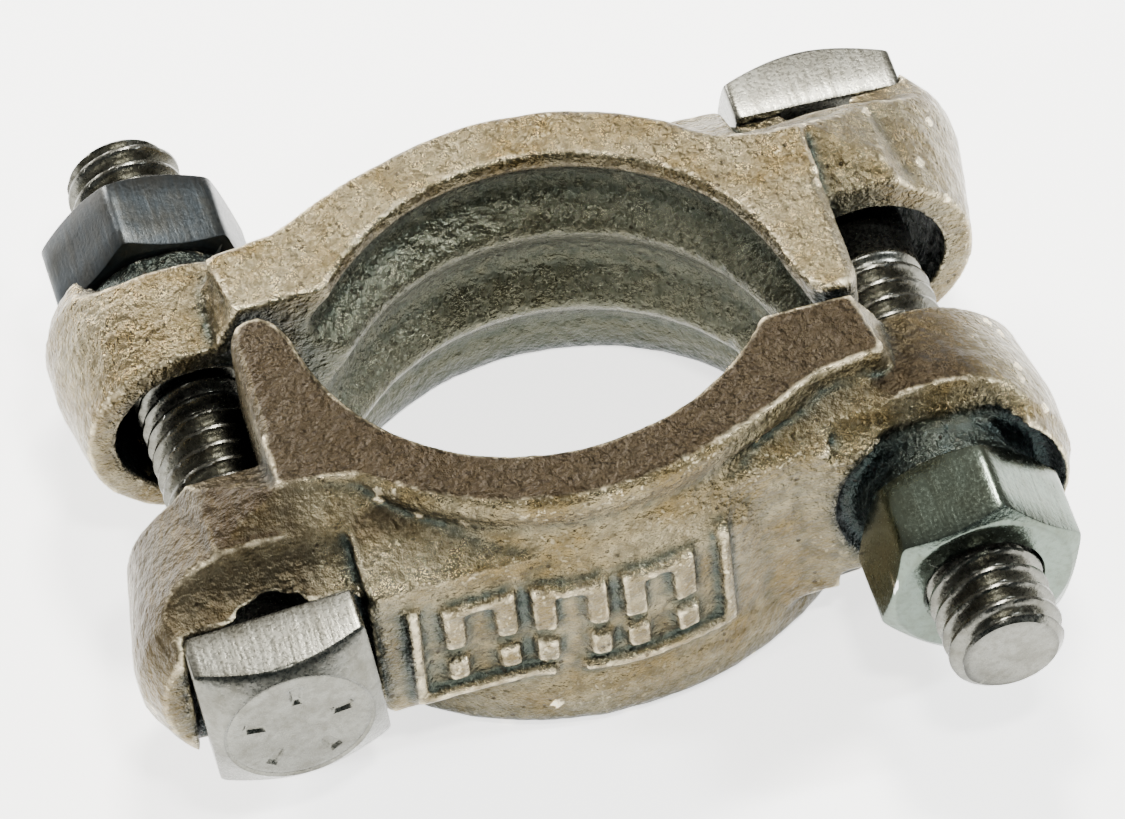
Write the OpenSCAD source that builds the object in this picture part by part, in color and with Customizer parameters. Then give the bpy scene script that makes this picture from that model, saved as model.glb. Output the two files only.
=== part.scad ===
// Two-bolt repair clamp for hose and pipe: two alike castings drawn together
// over the pipe by two square-head bolts and two hex nuts.
// The bore runs along Z. Each casting has a head lug, a nut lug and a tongue that
// bridges the gap between the halves, and the rear casting is the front one turned half round.

/* [Bore] */
// Height of each casting, measured along the pipe
casting_h = 22.4; // [21.8:0.1:23]
// Distance of each half's bore centre past the middle of the clamp
bore_shift = 4.0; // [3.8:0.1:4.2]
// Radius of the bore at its upper rim
rim_r = 16.4; // [16.2:0.1:16.6]
// Radius of the bore at the two gripping ridges
ridge_r = 15.6; // [15.2:0.1:15.8]
// Radius of the bore at the grooves beside the ridges
groove_r = 17.8; // [17.4:0.1:18]

/* [Casting] */
// Outer radius of the band at its upper rim
band_r = 20.7; // [20.5:0.1:20.9]
// How much wider the band is at its lower rim
band_draft = 1.4; // [1.2:0.1:1.6]
// Radius of a lug where it faces the other casting
lug_face_r = 7.9; // [7.7:0.1:8.1]
// Radius of a lug at the bolt head's end
head_lug_r = 9.3; // [9.1:0.1:9.5]
// Radius of a lug at the nut's end
nut_lug_r = 8.8; // [8.6:0.1:9]
// Gap between the tongue's tip and the other casting
tongue_gap = 0.8; // [0.6:0.1:1]

/* [Bolts and nuts] */
// Distance between the two bolts
bolt_spacing = 45.6; // [45.4:0.1:45.8]
// Diameter of the bolt
bolt_d = 7.94; // [7.7:0.01:8]
// Length of the bolt under its head
bolt_len = 44.45; // [43.5:0.05:46]
// Width of the square head across its flats
head_w = 11.7; // [11.5:0.1:11.9]
// Height of the square head
head_h = 5.2; // [4.8:0.1:5.6]
// Width of the nut across its flats
nut_w = 12.6; // [12.4:0.1:12.7]
// Height of the nut
nut_h = 6.6; // [6:0.1:6.8]

/* [Hidden] */
$fn = 96;

half_h = casting_h / 2;
bolt_x = bolt_spacing / 2;
bolt_r = bolt_d / 2;
past = 1;                    // how far a cutter runs past the face that it opens

// Planes across the bolts. Negative Y is the outer side of the front casting.
head_seat = -15.0;
nut_seat = -16.8;
head_lug_face = -4.8;
nut_lug_face = -5.8;
head_lug_front = -16.4;
nut_lug_front = -14.6;
tongue_tip = -nut_lug_face - tongue_gap;

// Arms between the band and the lugs. Their flanges stand out from the waist between them.
tongue_x = -20.5;
head_arm_y = -9.3;
nut_arm_y = -11.0;
nut_arm_end = 19.4;
flange_h = 2.4;
waist = 0.5;

// Bolt holes and seats
hole_r = 5.9;
nut_hole_r = 4.9;
head_hole_r = 5.6;
head_hole_rise = 1.0;
nut_pad_r = 5.9;
nut_scoop_floor = -14.0;
nut_scoop_r = 7.3;
nut_wall_front = -16.2;
tongue_relief_r = 4.6;
head_side_gap = 0.25;
head_side = -bolt_x + head_w / 2 + head_side_gap;

// Web in front of the band, level with the raised panel
web_y = -16.5;
web_top = 6.1;
web_foot = -6.3;
web_end = -4.5;
panel_rise = 0.7;

casting_colour = [0.60, 0.57, 0.47];
zinc = [0.72, 0.74, 0.73];
dark_zinc = [0.36, 0.39, 0.42];

module block(low, high) {
    translate(low) cube(high - low);
}

// A prism along Y whose section is given in X and Z
module along_y(from, to) {
    translate([0, to, 0]) rotate([90, 0, 0]) linear_extrude(to - from) children();
}

// A cone round a bolt's axis, from the plane y = from out to the plane y = to
module boss(x, from, to, r_from, r_to) {
    translate([x, from, 0]) rotate([90, 0, 0]) cylinder(h = from - to, r1 = r_from, r2 = r_to);
}

// The pipe's way through one half, with two gripping ridges and three grooves
module ridged_bore() {
    top = half_h + past;
    foot_r = rim_r + 1.2;
    translate([0, bore_shift, 0]) rotate_extrude() polygon([
        [0, -top], [foot_r + 0.3, -top], [foot_r + 0.3, -half_h], [foot_r, -half_h + 1.0],
        [groove_r - 0.2, -8.6], [groove_r, -7.6], [groove_r - 0.25, -6.6],
        [ridge_r + 0.3, -4.6], [ridge_r, -3.9], [ridge_r + 0.3, -3.2],
        [groove_r - 0.6, -1.1], [groove_r - 0.4, 0], [groove_r - 0.6, 1.1],
        [ridge_r + 0.3, 3.2], [ridge_r, 3.9], [ridge_r + 0.3, 4.6],
        [groove_r - 0.25, 6.4], [groove_r, 7.4], [groove_r - 0.25, 8.4],
        [rim_r - 0.1, half_h - 1.1], [rim_r + 0.2, half_h], [rim_r + 0.2, top], [0, top]]);
}

// The band round the pipe, grown by extra for the raised panel
module band_solid(extra = 0) {
    foot_r = band_r + band_draft;
    translate([0, bore_shift, 0]) rotate_extrude() polygon([
        [0, -half_h], [foot_r - 0.7 + extra, -half_h], [foot_r + extra, -half_h + 0.8],
        [foot_r - 0.2 + extra, -8], [foot_r - 0.6 + extra, -web_top], [band_r + 0.8 + extra, 3],
        [band_r + 0.1 + extra, web_top + 0.4], [band_r - 0.4 + extra, 8.2],
        [band_r + extra, 9.6], [band_r + extra, half_h - 0.6], [band_r - 0.5 + extra, half_h],
        [0, half_h]]);
}

// Plan of the tongue: straight along the bolt, with a round tip
module tongue_plan() {
    tip_r = 1.75;
    width = 7;
    translate([tongue_x, head_arm_y]) square([width, tongue_tip - tip_r - head_arm_y]);
    translate([tongue_x + tip_r, head_arm_y]) square([width - tip_r, tongue_tip - head_arm_y]);
    translate([tongue_x + tip_r, tongue_tip - tip_r]) circle(tip_r);
}

// What the tongue's inner side leaves: it draws in from the ridges to the tip
module tongue_slope() {
    linear_extrude(casting_h + 2 * past, center = true)
        polygon([[-14.4, -2], [-17.2, 4.2], [-18.2, tongue_tip + 0.1], [-18.2, tongue_tip + past],
                 [-8, tongue_tip + past], [-8, -2]]);
}

module tongue() {
    bevel = 1.0;
    difference() {
        linear_extrude(casting_h, center = true) tongue_plan();
        for (end = [-1, 1])
            translate([tongue_x, 0, end * half_h]) rotate([0, 45, 0]) cube([bevel, 40, bevel], center = true);
    }
}

// Plan of both arms. They run into the band on a long curve.
module arm_plan(inset = 0) {
    translate([0, inset]) {
        polygon([[tongue_x, head_lug_face], [tongue_x, head_arm_y], [-18, head_arm_y - 0.1],
                 [-14.8, -10.2], [-11.1, -12.4], [-8.6, -14.1], [-9, head_lug_face]]);
        polygon([[3, -16.1], [9.2, -14.5], [12.2, -13.3], [15.4, nut_arm_y - 0.6], [nut_arm_end + 0.9, nut_arm_y],
                 [nut_arm_end, nut_lug_face], [9, nut_lug_face]]);
    }
}

module arms() {
    half_plane = 40;
    intersection() {
        union() {
            linear_extrude(casting_h, center = true) arm_plan(waist);
            for (low = [-half_h, half_h - flange_h])
                translate([0, 0, low]) linear_extrude(flange_h) arm_plan();
        }
        union() {
            block([-half_plane, -half_plane, -half_h], [0, head_lug_face, half_h]);
            block([0, -half_plane, -half_h], [half_plane, nut_lug_face, half_h]);
        }
    }
    // shoulder from the nut arm's flange down to the round lug
    along_y(nut_arm_y + 0.4, nut_lug_face)
        polygon([[14, -half_h], [nut_arm_end, -half_h], [nut_arm_end + 1.6, -lug_face_r - 0.6],
                 [nut_arm_end + 1.6, lug_face_r + 0.6], [nut_arm_end, half_h], [14, half_h]]);
}

module head_lug() {
    flare = 7.5;
    rounding = 2.4;
    boss(-bolt_x, head_lug_face, head_lug_face - flare, lug_face_r, head_lug_r);
    boss(-bolt_x, head_lug_face - flare, head_lug_front + rounding, head_lug_r, head_lug_r);
    boss(-bolt_x, head_lug_front + rounding, head_lug_front, head_lug_r, head_lug_r - rounding / 2);
}

// Round lug with a raised pad for the nut in a round scoop, whose wall stands up on the outer side
module nut_lug() {
    flare = 5.5;
    boss(bolt_x, nut_lug_face, nut_lug_face - flare, lug_face_r, nut_lug_r);
    boss(bolt_x, nut_lug_face - flare, nut_lug_front, nut_lug_r, nut_lug_r);
    intersection() {
        boss(bolt_x, nut_lug_front + past, nut_wall_front, nut_lug_r, nut_lug_r - 0.6);
        block([bolt_x + 3.6, nut_wall_front, -6.4], [bolt_x + 10, nut_lug_front + past, 6.4]);
    }
}

module nut_scoop() {
    difference() {
        boss(bolt_x, nut_scoop_floor, nut_seat - past, nut_scoop_r, nut_scoop_r + 0.9);
        boss(bolt_x, nut_scoop_floor + past, nut_seat, nut_pad_r + 0.3, nut_pad_r);
    }
}

// Hollows above and below a seat, which leave room for a spanner
module seat_hollow(seat, x_from, x_to) {
    r = 3.4;
    for (end = [-1, 1])
        translate([x_from, seat - 0.2, end * (head_w / 2 + r - 0.1)]) rotate([0, 90, 0])
            cylinder(h = x_to - x_from, r = r);
}

// A prism along X whose section is given in Y and Z
module along_x(from, to) {
    translate([from, 0, 0]) rotate([90, 0, 90]) linear_extrude(to - from) children();
}

// Saddle that carries the head lug up to the corner of the flange
module head_shoulder() {
    crest_z = half_h - 0.3;
    intersection() {
        along_x(-30, -14.5) polygon([[head_lug_face, 0], [head_lug_face, 8.2], [head_arm_y, crest_z],
                                     [head_arm_y - 1.2, 9.6], [-12.2, 8.3], [-12.2, 0]]);
        along_y(-13, head_lug_face) polygon([[-14.5, 0], [-14.5, crest_z], [tongue_x, crest_z], [-25.4, 8.9],
                                             [-29, 4], [-29, 0]]);
    }
}

// Web from the head lug across the front of the band. Its top slopes up to the flange.
module web() {
    intersection() {
        along_y(web_y, head_lug_face) polygon([
            [head_side, web_foot], [0, web_foot], [0, half_h - flange_h], [head_side, half_h - flange_h]]);
        along_x(-30, 0) polygon([[web_y, web_foot], [web_y, web_top], [web_y + 0.8, web_top + 0.3],
                                 [-13.4, 7.9], [-11.6, 8.8], [head_lug_face, 8.8], [head_lug_face, web_foot]]);
        linear_extrude(casting_h, center = true) polygon([
            [head_side, head_lug_face], [head_side, web_y + 0.7], [head_side + 0.7, web_y],
            [web_end, web_y], [-1, -12], [-1, head_lug_face]]);
    }
}

// Fill between the band and the nut lug. Its top slopes up to the flange.
module nut_web() {
    intersection() {
        along_x(7, bolt_x) polygon([[-15.2, -9], [-15.2, 6.6], [-12.6, 8.3], [nut_arm_y + 0.2, 9.6],
                                    [-9, 9.6], [-9, -9]]);
        along_y(-16, -9) polygon([[7, -9.6], [12, -8.2], [bolt_x, -6.4], [bolt_x, 8.2], [19.4, 8.7],
                                  [nut_arm_end - 2, 9.6], [7, 9.6]]);
        linear_extrude(casting_h, center = true)
            polygon([[7, -15.3], [10.5, -14.9], [13, -14.7], [16, -15.1], [bolt_x, -15.1], [bolt_x, -10], [9, -10]]);
    }
}

// Raised frame and plain blocks on the front of the band
module panel() {
    left = -14.4;
    right = 7.6;
    foot = -5.6;
    top = 4.2;
    line = 0.8;
    block_w = 1.5;
    block_pitch = 3.0;
    rows = [[-0.6, 3.6], [-3.9, -1.8]];
    intersection() {
        union() {
            band_solid(panel_rise);
            block([left, web_y - panel_rise, foot], [web_end, -8, top]);
        }
        along_y(-25, -10) {
            for (x = [left, right - line]) translate([x, foot]) square([line, top - foot]);
            translate([left, foot]) square([9.4, line]);
            translate([left + 11.2, foot]) square([right - left - 11.2, line]);
            for (row = rows, i = [0 : 5])
                translate([left + 2.3 + i * block_pitch + 0.5 * (i % 2), row[0]]) square([block_w, row[1] - row[0]]);
            for (i = [0 : 2]) translate([left + 2.3 + i * 2 * block_pitch, 2.7]) square([block_pitch + 0.9, line]);
        }
    }
}

// Seat for the square head: flat floor, a wall on each side that keeps it from turning
module head_recess() {
    half_w = head_w / 2 + head_side_gap;
    wall_top = 6.0;
    wall_foot = -5.2;
    front = head_lug_front - 6;
    block([-bolt_x - half_w, front, -half_h - past], [head_side, head_seat, half_h + past]);
    block([-bolt_x - 12, front, wall_top], [head_side, head_seat, half_h + past]);
    block([-bolt_x - 12, front, -half_h - past], [head_side, head_seat, wall_foot]);
}

module bolt_holes() {
    boss(-bolt_x, head_lug_face + past, head_lug_front, hole_r, head_hole_r);
    for (rise = [-head_hole_rise, head_hole_rise])
        translate([0, 0, rise]) boss(-bolt_x, head_seat + 5, head_lug_front, head_hole_r - 1.5, head_hole_r);
    boss(-bolt_x, 10, head_lug_face - past, tongue_relief_r, tongue_relief_r);
    boss(bolt_x, nut_lug_face, nut_seat, hole_r, nut_hole_r);
    boss(bolt_x, nut_lug_face + past, nut_lug_face, hole_r, hole_r);
    boss(bolt_x, nut_seat, nut_seat - past, nut_hole_r, nut_hole_r);
}

module casting() {
    difference() {
        union() {
            intersection() {
                band_solid();
                union() {
                    block([-30, -30, -half_h], [30, nut_lug_face, half_h]);
                    block([-30, -30, -half_h], [-9, head_lug_face, half_h]);
                }
            }
            tongue();
            arms();
            head_lug();
            head_shoulder();
            nut_lug();
            boss(bolt_x, nut_lug_front + past, nut_seat, nut_pad_r, nut_pad_r);
            web();
            nut_web();
            panel();
        }
        ridged_bore();
        tongue_slope();
        head_recess();
        nut_scoop();
        bolt_holes();
        seat_hollow(head_seat, -bolt_x - head_lug_r - past, head_side);
        seat_hollow(nut_seat + 0.6, bolt_x - 7.6, bolt_x + nut_lug_r + past);
    }
}

// Square-head bolt along +Y: the head's bearing face is at y = 0
module bolt() {
    chamfer = 0.75;
    crown_r = 5.1;
    crown_drop = 2.0;
    rotate([-90, 0, 0]) {
        cylinder(h = bolt_len - chamfer, r = bolt_r);
        translate([0, 0, bolt_len - chamfer]) cylinder(h = chamfer, r1 = bolt_r, r2 = bolt_r - chamfer);
        intersection() {
            translate([-head_w / 2, -head_w / 2, -head_h]) cube([head_w, head_w, head_h]);
            union() {
                translate([0, 0, -head_h]) cylinder(h = crown_drop, r1 = crown_r, r2 = head_w * 0.72);
                translate([0, 0, crown_drop - head_h]) cylinder(h = head_h - crown_drop, r = head_w * 0.72);
            }
        }
    }
}

// Hex nut along +Y from its bearing face, chamfered on both faces
module nut() {
    corner_r = nut_w / sqrt(3);
    chamfer = 0.55;
    clearance = 0.05;
    rotate([-90, 0, 0]) difference() {
        intersection() {
            cylinder(h = nut_h, r = corner_r, $fn = 6);
            union() {
                cylinder(h = chamfer, r1 = corner_r - 2 * chamfer, r2 = corner_r + 0.01);
                translate([0, 0, chamfer]) cylinder(h = nut_h - 2 * chamfer, r = corner_r + 0.01);
                translate([0, 0, nut_h - chamfer])
                    cylinder(h = chamfer, r1 = corner_r + 0.01, r2 = corner_r - 2 * chamfer);
            }
        }
        translate([0, 0, -past]) cylinder(h = nut_h + 2 * past, r = bolt_r + clearance);
    }
}

module front_half() {
    color(casting_colour) casting();
}

module rear_half() {
    color(casting_colour) rotate([0, 0, 180]) casting();
}

module left_bolt() {
    color(zinc) translate([-bolt_x, head_seat, 0]) rotate([0, -3.8, 0]) bolt();
}

module right_bolt() {
    color(zinc) translate([bolt_x, -head_seat, 0]) rotate([0, 0, 180]) rotate([0, -3.8, 0]) bolt();
}

module left_nut() {
    color(dark_zinc) translate([-bolt_x, -nut_seat, 0]) rotate([0, 14.7, 0]) nut();
}

module right_nut() {
    color(zinc) translate([bolt_x, nut_seat, 0]) rotate([0, 0, 180]) rotate([0, 15.4, 0]) nut();
}

front_half();
rear_half();
left_bolt();
right_bolt();
left_nut();
right_nut();
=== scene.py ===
"""Looks of a two-bolt pipe repair clamp: two ridged castings, square-head bolts and hex nuts."""
import math

import bpy
from mathutils import Matrix, Vector, noise


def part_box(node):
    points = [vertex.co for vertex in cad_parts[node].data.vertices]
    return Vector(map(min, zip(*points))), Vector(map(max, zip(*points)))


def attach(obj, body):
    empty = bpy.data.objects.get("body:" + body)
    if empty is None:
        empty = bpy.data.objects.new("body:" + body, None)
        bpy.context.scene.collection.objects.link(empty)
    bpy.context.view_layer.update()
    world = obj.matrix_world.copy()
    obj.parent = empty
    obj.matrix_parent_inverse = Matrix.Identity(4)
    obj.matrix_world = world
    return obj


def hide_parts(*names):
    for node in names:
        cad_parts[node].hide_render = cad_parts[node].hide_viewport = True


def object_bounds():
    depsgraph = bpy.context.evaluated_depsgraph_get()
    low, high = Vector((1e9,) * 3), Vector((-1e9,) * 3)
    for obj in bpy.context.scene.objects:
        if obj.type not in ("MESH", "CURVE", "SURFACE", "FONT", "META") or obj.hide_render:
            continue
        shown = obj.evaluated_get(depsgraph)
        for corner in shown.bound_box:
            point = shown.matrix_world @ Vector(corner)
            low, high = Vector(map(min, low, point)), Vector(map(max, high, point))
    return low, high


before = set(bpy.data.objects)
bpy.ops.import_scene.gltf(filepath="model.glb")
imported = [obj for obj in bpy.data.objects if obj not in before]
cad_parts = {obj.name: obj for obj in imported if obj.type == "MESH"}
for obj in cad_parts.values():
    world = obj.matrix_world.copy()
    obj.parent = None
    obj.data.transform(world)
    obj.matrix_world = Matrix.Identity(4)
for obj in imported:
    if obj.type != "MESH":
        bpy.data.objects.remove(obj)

cad_low, cad_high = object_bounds()
MM = 0.001

# Camera: its distance, direction and roll round the middle of the clamp
CAMERA_TARGET = Vector((0.47, -0.36, 0.0)) * MM
CAMERA_DISTANCE = 631.0 * MM
CAMERA_AZIMUTH = 10.23
CAMERA_ELEVATION = 51.31
CAMERA_ROLL = 6.72
CAMERA_LENS = 302.9

# Bolts and nuts, in millimetres and degrees
PITCH = 25.4 / 18
BOLT_R = 3.97
SHANK_R = 3.78
THREAD_DEPTH = 0.90
THREAD_START = 13.3
THREAD_END_R = 3.24
HEAD_W = 11.7
HEAD_H = 5.2
HEAD_EDGE = 0.28                # rounding between a head's face and its sides
CROWN_R = 5.1
CROWN_SLOPE = 0.62
CROWN_RINGS = 22                # rings of points across the crown
RING_DEPTH = 0.10
DASH_DEPTH = 0.20
NUT_W = 12.6
NUT_H = 6.6
NUT_EDGE = 0.12                 # rounding between a nut's face and its sides
NUT_CROWN_R = 6.0
NUT_CROWN_SLOPE = 0.56
NUT_PLAY = 0.07
HEAD_TURN = -3.8
LEFT_NUT_TURN = 14.7
RIGHT_NUT_TURN = 15.4
AROUND = 144                    # points in each ring

# Castings, in millimetres
BOLT_X = 22.8                   # a bolt's axis, from the middle of the clamp
BORE_SHIFT = 4.0                # the centre of a half's bore, past the middle of the clamp
BORE_SHADE_R = 18.0              # how far from that centre the bore's painted shade goes
NUT_SEAT_Y = 13.6               # how far from the middle the shade behind a nut begins
NUT_SEAT_R = 7.0
VOXEL = 0.27
SOFTEN_STEPS = 6
SKIN = ((0.07, 5.0), (0.045, 1.7), (0.028, 0.8))   # height and size of each layer of unevenness
SKIN_DROP = 0.02                # how far the whole skin is set in

# Colours of the castings: bright metal for wear and painted highlights, the plate's patches, and the painted
# shades and grime laid over them
WORN_AND_HIGHLIT = (0.85, 0.74, 0.50, 1)
# painted highlight: colour of the glint specks
PAINTED_GLINT = (0.78, 0.68, 0.44, 1)
PALE_PLATE = (0.205, 0.175, 0.105, 1)
BROWN_PLATE = (0.135, 0.098, 0.040, 1)
DARK_PLATE = (0.055, 0.044, 0.024, 1)
BORE_SHADE_GREEN = (0.078, 0.094, 0.074, 1)
CREASE_SHADE_GREEN = (0.030, 0.046, 0.042, 1)
SEAT_SHADE = (0.016, 0.024, 0.024, 1)
DEEP_SHADE = (0.010, 0.019, 0.020, 1)
TOP_PAINTED_SHADE = (0.020, 0.014, 0.008, 1)
PIT_GRIME = (0.020, 0.014, 0.009, 1)

# Colours that the bolts and nuts share: a painted edge highlight and a painted crease shade
ZINC_EDGE_HIGHLIGHT = (0.85, 0.86, 0.84, 1)
ZINC_CREASE_SHADE = (0.02, 0.02, 0.02, 1)


def link_object(name, data):
    piece = bpy.data.objects.new(name, data)
    bpy.context.scene.collection.objects.link(piece)
    return piece


# ---------------------------------------------------------------- materials

class Tree:
    """A material's node tree, with short calls for the nodes that the materials share."""

    def __init__(self, name):
        self.material = bpy.data.materials.new(name)
        self.material.use_nodes = True
        self.nodes = self.material.node_tree.nodes
        self.links = self.material.node_tree.links
        self.shader = self.nodes["Principled BSDF"]
        place = self.nodes.new("ShaderNodeTexCoord")
        self.coords = place.outputs["Object"]
        self.normal = place.outputs["Normal"]

    def feed(self, node, **inputs):
        """Sets or links inputs, given by name with _ for a space, or by number as i0, i1 and so on."""
        for key, value in inputs.items():
            by_number = key[0] == "i" and key[1:].isdigit()
            socket = node.inputs[int(key[1:]) if by_number else key.replace("_", " ")]
            if isinstance(value, bpy.types.NodeSocket):
                self.links.new(value, socket)
            else:
                socket.default_value = value
        return node

    def noise(self, size_mm, detail=3.0, roughness=0.55, stretch=None):
        """Noise with features of about size_mm, from 0 to 1."""
        vector = self.coords
        if stretch:
            mapping = self.nodes.new("ShaderNodeMapping")
            vector = self.feed(mapping, Vector=vector, Scale=stretch).outputs[0]
        node = self.nodes.new("ShaderNodeTexNoise")
        self.feed(node, Vector=vector, Scale=1 / (size_mm * MM), Detail=detail, Roughness=roughness)
        return node.outputs["Fac"]

    def cells(self, size_mm):
        """Distance from the nearest of many scattered points, which are about size_mm apart."""
        node = self.nodes.new("ShaderNodeTexVoronoi")
        self.feed(node, Vector=self.coords, Scale=1 / (size_mm * MM))
        return node.outputs["Distance"]

    def spread(self, value, low, high, to_low=0.0, to_high=1.0):
        """Maps low to to_low and high to to_high, and holds the result between them."""
        node = self.nodes.new("ShaderNodeMapRange")
        self.feed(node, i0=value, i1=low, i2=high, i3=to_low, i4=to_high)
        return node.outputs[0]

    def math(self, operation, a, b):
        node = self.nodes.new("ShaderNodeMath")
        node.operation = operation
        self.feed(node, i0=a, i1=b)
        return node.outputs[0]

    def times(self, a, b):
        return self.math("MULTIPLY", a, b)

    def distance(self, a, centre_a, b, centre_b):
        """Distance in a plane from a point whose two coordinates are in millimetres."""
        a = self.math("SUBTRACT", a, centre_a * MM)
        b = self.math("SUBTRACT", b, centre_b * MM)
        return self.math("POWER", self.math("ADD", self.times(a, a), self.times(b, b)), 0.5)

    def mix(self, factor, a, b):
        node = self.nodes.new("ShaderNodeMix")
        node.data_type = "RGBA"
        self.feed(node, i0=factor, i6=a, i7=b)
        return node.outputs[2]

    def pointiness(self):
        """About 0.5 on a flat, more on an outer edge and less in a crease."""
        return self.nodes.new("ShaderNodeNewGeometry").outputs["Pointiness"]

    def openness(self, reach_mm):
        """How open the surface is to its surroundings, from 0 in a deep hollow to 1."""
        node = self.nodes.new("ShaderNodeAmbientOcclusion")
        node.samples = 8
        self.feed(node, Distance=reach_mm * MM)
        return node.outputs["AO"]

    def part_of(self, output, axis):
        node = self.nodes.new("ShaderNodeSeparateXYZ")
        self.feed(node, i0=output)
        return node.outputs[axis]

    def bump(self, height, depth_mm, strength=1.0, under=None):
        node = self.nodes.new("ShaderNodeBump")
        self.feed(node, Height=height, Distance=depth_mm * MM, Strength=strength)
        if under:
            self.feed(node, Normal=under)
        return node.outputs[0]


def plate_colour(t, mottle):
    """Gold-brown plate in patches, mottled, with small painted glint highlights on what stands proud."""
    patches = t.spread(t.noise(4.5, 3, 0.6), 0.38, 0.62)
    colour = t.mix(patches, BROWN_PLATE, PALE_PLATE)
    colour = t.mix(t.times(mottle, 0.65), colour, DARK_PLATE)
    # painted highlight: small bright glint specks on convex spots
    painted_glints = t.spread(t.noise(0.40, 2, 0.6), 0.57, 0.66)
    painted_glints = t.times(painted_glints, t.spread(t.pointiness(), 0.490, 0.520))
    painted_glints = t.times(painted_glints, t.spread(t.noise(3.2, 2, 0.5), 0.42, 0.60, 0.25, 1.0))
    return t.mix(t.times(painted_glints, 0.6), colour, PAINTED_GLINT)


def bore_shade_mask(t, across, deep, height, side):
    """Painted shade on the wall of the bore, fading out towards its upper rim."""
    from_centre = t.distance(across, 0.0, deep, BORE_SHIFT * side)
    return t.times(t.spread(from_centre, (BORE_SHADE_R + 0.8) * MM, BORE_SHADE_R * MM),
                   t.spread(height, 10.0 * MM, 8.0 * MM, 0.0, 0.62))


def top_shade_mask(t, across, height, top_dark, left_dark):
    """The flat top, and the upper side of the left lug, where shade is painted."""
    upward = t.part_of(t.normal, 2)
    top = t.times(t.spread(height, 6.4 * MM, 8.6 * MM), t.spread(upward, 0.72, 0.93))
    left_lug = t.times(t.spread(across, -17 * MM, -20 * MM, 0.0, left_dark), t.spread(upward, -0.1, 0.5))
    return t.math("MAXIMUM", t.times(top, top_dark), left_lug)


def nut_seat_mask(t, across, deep, height, side):
    """The lug's face behind the nut."""
    from_axis = t.distance(across, BOLT_X * side, height, 0.0)
    return t.times(t.spread(from_axis, (NUT_SEAT_R + 1.4) * MM, NUT_SEAT_R * MM, 0.0, 0.9),
                   t.spread(deep, -NUT_SEAT_Y * side * MM, -(NUT_SEAT_Y + 1.0) * side * MM))


def casting_metal(name, top_dark, left_dark, side):
    """Plated malleable iron as cast: gold-brown and pitted, bright on edges with wear and painted highlight,
    with painted green-grey shade in hollows.

    top_dark and left_dark, from 0 to 1, say how much painted shade lies on the top and the left lug. side is
    1 for the front casting and -1 for the rear one, which is the front one turned half round.
    """
    t = Tree(name)
    across, deep, height = (t.part_of(t.coords, axis) for axis in range(3))
    bore = bore_shade_mask(t, across, deep, height, side)
    top = top_shade_mask(t, across, height, top_dark, left_dark)
    nut_seat = nut_seat_mask(t, across, deep, height, side)
    mottle = t.spread(t.noise(0.8, 4, 0.65), 0.36, 0.64)
    # painted shade: the bore's wall painted darker green-grey, most deep down
    colour = t.mix(bore, plate_colour(t, mottle), BORE_SHADE_GREEN)
    # painted shade: green-grey darkening in creases
    colour = t.mix(t.times(t.spread(t.pointiness(), 0.499, 0.470), 0.8), colour, CREASE_SHADE_GREEN)
    colour = t.mix(t.spread(t.openness(6.0), 0.38, 0.90, 0.96, 0.0), colour, DEEP_SHADE)
    # painted shade over the top and the upper side of the left lug
    colour = t.mix(top, colour, TOP_PAINTED_SHADE)
    colour = t.mix(nut_seat, colour, SEAT_SHADE)
    # edge colour: partly real wear of the plate, partly painted highlight on rounded edges
    wear_and_highlight = t.spread(t.pointiness(), 0.520, 0.560)
    wear_and_highlight = t.times(wear_and_highlight, t.spread(t.noise(1.3, 2, 0.5), 0.35, 0.6, 0.15, 0.95))
    wear_and_highlight = t.times(wear_and_highlight, t.math("SUBTRACT", 1.0, nut_seat))
    wear_and_highlight = t.times(wear_and_highlight, t.spread(bore, 0.0, 0.5, 1.0, 0.0))
    colour = t.mix(wear_and_highlight, colour, WORN_AND_HIGHLIT)
    pits = t.times(t.spread(t.cells(0.75), 0.24, 0.16), t.spread(t.noise(2.6, 2, 0.5), 0.50, 0.62))
    colour = t.mix(t.times(pits, 0.7), colour, PIT_GRIME)
    rough = t.math("ADD", t.spread(mottle, 0, 1, 0.19, 0.33), t.times(top, 0.14))
    grain = t.bump(t.noise(0.30, 3, 0.6), 0.17, 0.9)
    coarse_strength = t.math("ADD", 0.55, t.times(top, 0.45))
    coarse = t.bump(t.noise(0.9, 3, 0.55), 0.55, coarse_strength, under=grain)
    normal = t.bump(pits, -0.08, 0.7, under=coarse)
    t.feed(t.shader, Base_Color=colour, Metallic=0.95, Roughness=rough, Normal=normal)
    return t.material


def zinc_metal(name, colour, dull, roughness, edge_highlight):
    """Zinc-plated steel with drawn streaks and small stains, with painted shade in its hollows and painted
    highlight on its edges.

    The last argument, from 0 to 1, says how strong the painted highlight on its edges is.
    """
    t = Tree(name)
    stains = t.spread(t.noise(2.2, 4, 0.6), 0.42, 0.66)
    fine = t.noise(0.25, 3, 0.6)
    streaks = t.noise(0.45, 2, 0.5, stretch=(1.0, 0.10, 1.0))
    tone = t.mix(t.times(stains, 0.55), colour, dull)
    tone = t.mix(t.spread(streaks, 0.45, 0.70, 0.0, 0.45), tone, dull)
    # painted shade in creases and thread roots
    tone = t.mix(t.times(t.spread(t.pointiness(), 0.49, 0.42), 0.7), tone, ZINC_CREASE_SHADE)
    # painted highlight on edges
    tone = t.mix(t.spread(t.pointiness(), 0.52, 0.58, 0.0, edge_highlight), tone, ZINC_EDGE_HIGHLIGHT)
    rough = t.spread(fine, 0.3, 0.7, roughness - 0.05, roughness + 0.09)
    normal = t.bump(fine, 0.03, 0.5, under=t.bump(streaks, 0.04, 0.5))
    t.feed(t.shader, Base_Color=tone, Metallic=1.0, Roughness=rough, Normal=normal)
    return t.material


# ---------------------------------------------------------------- castings

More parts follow.
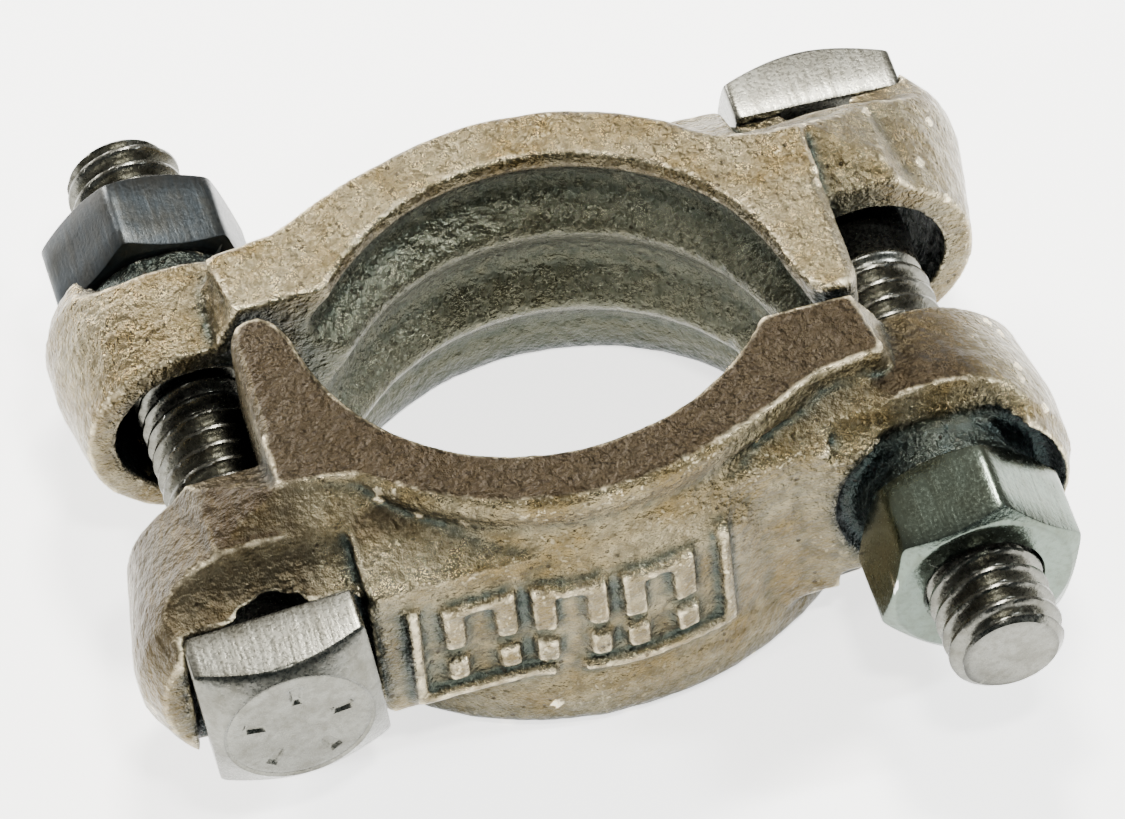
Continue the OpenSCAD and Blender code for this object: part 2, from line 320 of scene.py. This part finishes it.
def softened_mesh(piece):
    """The piece's mesh with its edges rounded."""
    voxels = piece.modifiers.new("voxels", "REMESH")
    voxels.mode = "VOXEL"
    voxels.voxel_size = VOXEL * MM
    soften = piece.modifiers.new("soften", "SMOOTH")
    soften.factor = 0.5
    soften.iterations = SOFTEN_STEPS
    graph = bpy.context.evaluated_depsgraph_get()
    mesh = bpy.data.meshes.new_from_object(piece.evaluated_get(graph))
    piece.modifiers.clear()
    return mesh


def roughen(mesh, seed):
    """Makes a surface uneven, as a sand casting's skin is."""
    shift = Vector((seed, seed * 2.0, -seed))
    normals = [v.normal.copy() for v in mesh.vertices]
    for vertex, normal in zip(mesh.vertices, normals):
        at = vertex.co / MM + shift
        swell = sum(height * noise.noise(at / size) for height, size in SKIN)
        vertex.co += normal * (swell - SKIN_DROP) * MM


def cast_piece(node, name, body, metal, seed):
    """A half of the clamp, made from the CAD's own shape."""
    piece = link_object(name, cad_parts[node].data.copy())
    mesh = softened_mesh(piece)
    piece.data = mesh
    roughen(mesh, seed)
    mesh.shade_smooth()
    mesh.materials.clear()
    mesh.materials.append(metal)
    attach(piece, body)
    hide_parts(node)


# ---------------------------------------------------------------- bolts and nuts

def ring_mesh(name, rings, closed):
    """Skins a row of rings of points. An open row is capped at both ends, a closed one joins up."""
    count = len(rings[0])
    points = [p for ring in rings for p in ring]
    faces = []
    pairs = len(rings) if closed else len(rings) - 1
    for i in range(pairs):
        a = i * count
        b = (i + 1) % len(rings) * count
        for j in range(count):
            k = (j + 1) % count
            faces.append((a + j, b + j, b + k, a + k))
    if not closed:
        last = (len(rings) - 1) * count
        faces.append(tuple(range(count)))
        faces.append(tuple(last + count - 1 - j for j in range(count)))
    mesh = bpy.data.meshes.new(name)
    mesh.from_pydata([tuple(Vector(p) * MM) for p in points], [], faces)
    mesh.validate()
    mesh.update()
    return mesh


def at_angle(angle, radius, along):
    """A point round the bolt's axis, which is +Y. The angle runs from +Z towards +X."""
    return (radius * math.sin(angle), along, radius * math.cos(angle))


def round_ring(angles, radius, along):
    return [at_angle(a, radius, along) for a in angles]


def prism_radius(angle, width, sides, first_flat, sharpness=34):
    """Radius of a many-sided outline with slightly rounded corners."""
    total = 0.0
    for i in range(sides):
        lean = math.cos(angle - first_flat - i * 2 * math.pi / sides)
        if lean > 0:
            total += lean ** sharpness
    return width / 2 / total ** (1 / sharpness)


def corner_angles(sides, first_flat):
    """Angles round the axis, drawn together at the corners of a prism."""
    angles = []
    for i in range(AROUND):
        even = i * 2 * math.pi / AROUND
        angles.append(first_flat + even + 0.75 / sides * math.sin(sides * even))
    return angles


def thread_radius(angle, along, inner=False):
    """Radius of a right-hand thread at a place on the bolt."""
    turn = (along / PITCH - angle / (2 * math.pi)) % 1.0
    off_crest = abs(turn - 0.5) * 2
    flank = min(max((off_crest - 0.12) / 0.76, 0.0), 1.0)
    depth = THREAD_DEPTH * (0.5 - 0.5 * math.cos(math.pi * flank))
    return BOLT_R - depth + (NUT_PLAY if inner else 0.0)


def head_marks(angle, radius):
    """Stamped depth on a head: five short dashes inside a shallow ring."""
    if CROWN_R - 0.42 < radius < CROWN_R - 0.12:
        return RING_DEPTH
    spacing = 2 * math.pi / 5
    off = (angle + spacing / 2) % spacing - spacing / 2
    return DASH_DEPTH if 2.5 < radius < 3.9 and abs(off) < 0.10 else 0.0


def head_face(angle, radius):
    """Height of a head's marked face, which slopes away outside its crown."""
    return -HEAD_H + max(radius - CROWN_R, 0.0) * CROWN_SLOPE + head_marks(angle, radius)


def head_rings(angles, outline):
    """The square head, from the middle of its face to its bearing face at 0."""
    rings = []
    for step in range(1, CROWN_RINGS + 1):
        radius = CROWN_R * step / CROWN_RINGS
        rings.append([at_angle(a, radius, head_face(a, radius)) for a in angles])
    for part in (0.12, 0.35, 0.65, 1.0):
        radii = [CROWN_R + (edge - HEAD_EDGE - CROWN_R) * part for edge in outline]
        rings.append([at_angle(a, r, head_face(a, r)) for a, r in zip(angles, radii)])
    for inset, down in ((0.10, 0.05), (0.02, 0.15), (0.0, 0.32)):
        rings.append([at_angle(a, edge - inset, head_face(a, edge - HEAD_EDGE) + 0.12 + down)
                      for a, edge in zip(angles, outline)])
    for inset, along in ((0.0, -1.6), (0.0, -0.4), (0.06, -0.12), (0.3, 0.0)):
        rings.append([at_angle(a, edge - inset, along) for a, edge in zip(angles, outline)])
    return rings


def thread_rings(angles, length):
    """The thread, from where it fades in to the bolt's coned end."""
    rings = []
    step = PITCH / 12
    along = THREAD_START - PITCH
    while along < length - 0.02:
        fade = min(max((along - THREAD_START + PITCH) / PITCH, 0.0), 1.0)
        cone = THREAD_END_R + (length - along) * 0.95
        radii = [SHANK_R + (thread_radius(a, along) - SHANK_R) * fade for a in angles]
        rings.append([at_angle(a, min(r, cone), along) for a, r in zip(angles, radii)])
        along += step
    for radius in (THREAD_END_R, THREAD_END_R * 0.85, THREAD_END_R * 0.4):
        rings.append([at_angle(a, min(radius, thread_radius(a, length)), length) for a in angles])
    return rings


def bolt_mesh(name, length, head_flat):
    """Square-head bolt whose bearing face is at 0 and whose end is at length along +Y."""
    angles = corner_angles(4, head_flat)
    rings = head_rings(angles, [prism_radius(a, HEAD_W, 4, head_flat) for a in angles])
    for extra, along in ((0.5, 0.0), (0.35, 0.03), (0.12, 0.15), (0.0, 0.4), (0.0, 4.0), (0.0, 9.0)):
        rings.append(round_ring(angles, SHANK_R + extra, along))
    return ring_mesh(name, rings + thread_rings(angles, length), closed=False)


def nut_face_rings(angles, outline, face, inward):
    """One end of a nut, from the mouth of its hole to its sides. inward is 1 or -1, along +Y."""
    mouth = BOLT_R + 0.25

    def chamfer(radius):
        return max(radius - NUT_CROWN_R, 0.0) * NUT_CROWN_SLOPE

    flat_edge = [min(NUT_CROWN_R, edge - NUT_EDGE - 0.02) for edge in outline]
    rings = [round_ring(angles, radius, face) for radius in (mouth, mouth + 0.15, NUT_CROWN_R - 0.3)]
    rings.append([at_angle(a, r, face) for a, r in zip(angles, flat_edge)])
    for part in (0.3, 0.65, 1.0):
        radii = [r + (edge - NUT_EDGE - r) * part for r, edge in zip(flat_edge, outline)]
        rings.append([at_angle(a, r, face + inward * chamfer(r)) for a, r in zip(angles, radii)])
    for inset, down in ((0.04, 0.05), (0.0, 0.16)):
        rings.append([at_angle(a, edge - inset, face + inward * (chamfer(edge - NUT_EDGE) + down))
                      for a, edge in zip(angles, outline)])
    rings.append([at_angle(a, edge, face + inward * 2.2) for a, edge in zip(angles, outline)])
    return rings


def nut_mesh(name, start, flat):
    """Hex nut from its bearing face at start along +Y, with a countersunk threaded bore."""
    angles = corner_angles(6, flat)
    outline = [prism_radius(a, NUT_W, 6, flat) for a in angles]
    top = start + NUT_H
    rings = nut_face_rings(angles, outline, start, 1) + nut_face_rings(angles, outline, top, -1)[::-1]
    count = int(NUT_H / (PITCH / 10))
    for i in range(count, -1, -1):
        along = start + NUT_H * i / count
        sink = BOLT_R + 0.2 - min(along - start, top - along)
        rings.append([at_angle(a, max(thread_radius(a, along, inner=True), sink), along) for a in angles])
    return ring_mesh(name, rings, closed=True)


def finish_piece(mesh, turned, at_x, at_y, body, node, metal):
    """Puts a bolt or nut, made along +Y, on its own axis."""
    place = Matrix.Translation(Vector((at_x, at_y, 0.0)))
    if turned:
        place = place @ Matrix.Rotation(math.pi, 4, "Z")
    mesh.transform(place)
    mesh.set_sharp_from_angle(angle=math.radians(32))
    mesh.materials.append(metal)
    piece = link_object(mesh.name, mesh)
    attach(piece, body)
    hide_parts(node)


def make_bolts_and_nuts():
    """The left bolt has its head at the front. The right one is turned half round."""
    bolt_metal = zinc_metal("bolt_zinc", (0.165, 0.165, 0.145, 1), (0.080, 0.076, 0.060, 1), 0.26, 0.0)
    nut_metal = zinc_metal("nut_zinc", (0.125, 0.155, 0.130, 1), (0.080, 0.090, 0.068, 1), 0.20, 0.8)
    dark_metal = zinc_metal("dark_nut_zinc", (0.030, 0.036, 0.041, 1), (0.034, 0.033, 0.028, 1), 0.34, 0.25)
    for side, turned in (("left", False), ("right", True)):
        low, high = (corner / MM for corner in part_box(side + "_bolt"))
        nut_low, nut_high = (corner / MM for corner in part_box(side + "_nut"))
        at_x = (low.x + high.x) / 2 * MM
        length = high.y - low.y - HEAD_H
        if turned:
            seat = high.y - HEAD_H
            start = seat - nut_high.y
            body, turn, slot, metal = "rear_body", RIGHT_NUT_TURN, "nut_zinc", nut_metal
        else:
            seat = low.y + HEAD_H
            start = nut_low.y - seat
            body, turn, slot, metal = "front_body", LEFT_NUT_TURN, "dark_nut_zinc", dark_metal
        mesh = bolt_mesh(side + "_bolt_steel", length, math.radians(HEAD_TURN))
        finish_piece(mesh, turned, at_x, seat * MM, body, side + "_bolt", bolt_metal)
        mesh = nut_mesh(side + "_nut_steel", start, math.radians(120 + turn))
        finish_piece(mesh, turned, at_x, seat * MM, side + "_nut_body", side + "_nut", metal)


# ---------------------------------------------------------------- floor, light and camera

def make_floor():
    half = 1.2
    z = cad_low.z - 0.05 * MM
    mesh = bpy.data.meshes.new("floor")
    corners = [(-half, -half, z), (half, -half, z), (half, half, z), (-half, half, z)]
    mesh.from_pydata(corners, [], [(0, 1, 2, 3)])
    floor = link_object("floor", mesh)
    t = Tree("floor_paper")
    paper = t.mix(t.noise(40, 2, 0.5), (0.90, 0.90, 0.90, 1), (0.93, 0.93, 0.93, 1))
    t.feed(t.shader, Base_Color=paper, Roughness=0.9, Specular_IOR_Level=0.0,
           Emission_Color=(1.0, 0.99, 0.97, 1), Emission_Strength=2.2)
    mesh.materials.append(t.material)


def area_light(name, place, size, power, colour=(1, 1, 1)):
    """A rectangular light aimed at the middle of the clamp."""
    data = bpy.data.lights.new(name, "AREA")
    data.shape = "RECTANGLE"
    data.size, data.size_y = size
    data.energy = power
    data.color = colour
    light = link_object(name, data)
    light.location = place
    light.rotation_mode = "QUATERNION"
    light.rotation_quaternion = (-Vector(place)).to_track_quat("-Z", "Y")


def make_world():
    """Dark studio with a bright far side: dim towards the camera and light behind the clamp."""
    world = bpy.data.worlds.new("studio")
    bpy.context.scene.world = world
    world.use_nodes = True
    nodes, links = world.node_tree.nodes, world.node_tree.links
    direction = nodes.new("ShaderNodeSeparateXYZ")
    links.new(nodes.new("ShaderNodeTexCoord").outputs["Generated"], direction.inputs[0])
    far_side = nodes.new("ShaderNodeMapRange")
    links.new(direction.outputs["Y"], far_side.inputs[0])
    far_side.inputs["From Min"].default_value = -0.15
    far_side.inputs["From Max"].default_value = 0.75
    tint = nodes.new("ShaderNodeMix")
    tint.data_type = "RGBA"
    links.new(far_side.outputs[0], tint.inputs[0])
    tint.inputs[6].default_value = (0.022, 0.048, 0.052, 1)
    tint.inputs[7].default_value = (0.62, 0.58, 0.50, 1)
    links.new(tint.outputs[2], nodes["Background"].inputs["Color"])


def make_lights():
    area_light("overhead", (0.10, 0.28, 0.50), (0.12, 0.07), 6.0, (1.0, 0.97, 0.90))
    area_light("key", (0.06, -0.20, 0.50), (0.07, 0.05), 2.5, (1.0, 0.98, 0.93))
    area_light("back", (-0.25, 0.55, 0.22), (0.22, 0.07), 8.0, (1.0, 0.97, 0.92))
    area_light("left", (-0.50, -0.15, 0.30), (0.08, 0.08), 1.6)
    area_light("right", (0.45, -0.10, 0.35), (0.05, 0.08), 4.0, (0.92, 0.97, 1.0))


def make_camera():
    azimuth = math.radians(CAMERA_AZIMUTH)
    elevation = math.radians(CAMERA_ELEVATION)
    forward = Vector((math.sin(azimuth) * math.cos(elevation), math.cos(azimuth) * math.cos(elevation),
                      -math.sin(elevation)))
    camera = link_object("camera", bpy.data.cameras.new("camera"))
    camera.data.lens = CAMERA_LENS
    camera.data.sensor_width = 36
    camera.data.clip_start = 0.05
    camera.data.clip_end = 10
    camera.rotation_mode = "QUATERNION"
    level = forward.to_track_quat("-Z", "Y")
    roll = Matrix.Rotation(math.radians(CAMERA_ROLL), 4, forward).to_quaternion()
    camera.rotation_quaternion = roll @ level
    camera.location = CAMERA_TARGET - forward * CAMERA_DISTANCE
    bpy.context.scene.camera = camera


make_camera()
make_floor()
make_world()
make_lights()
cast_piece("front_half", "front_casting", "front_body",
           casting_metal("front_iron", top_dark=0.95, left_dark=0.75, side=1), seed=3.0)
cast_piece("rear_half", "rear_casting", "rear_body",
           casting_metal("rear_iron", top_dark=0.22, left_dark=0.0, side=-1), seed=17.0)
make_bolts_and_nuts()
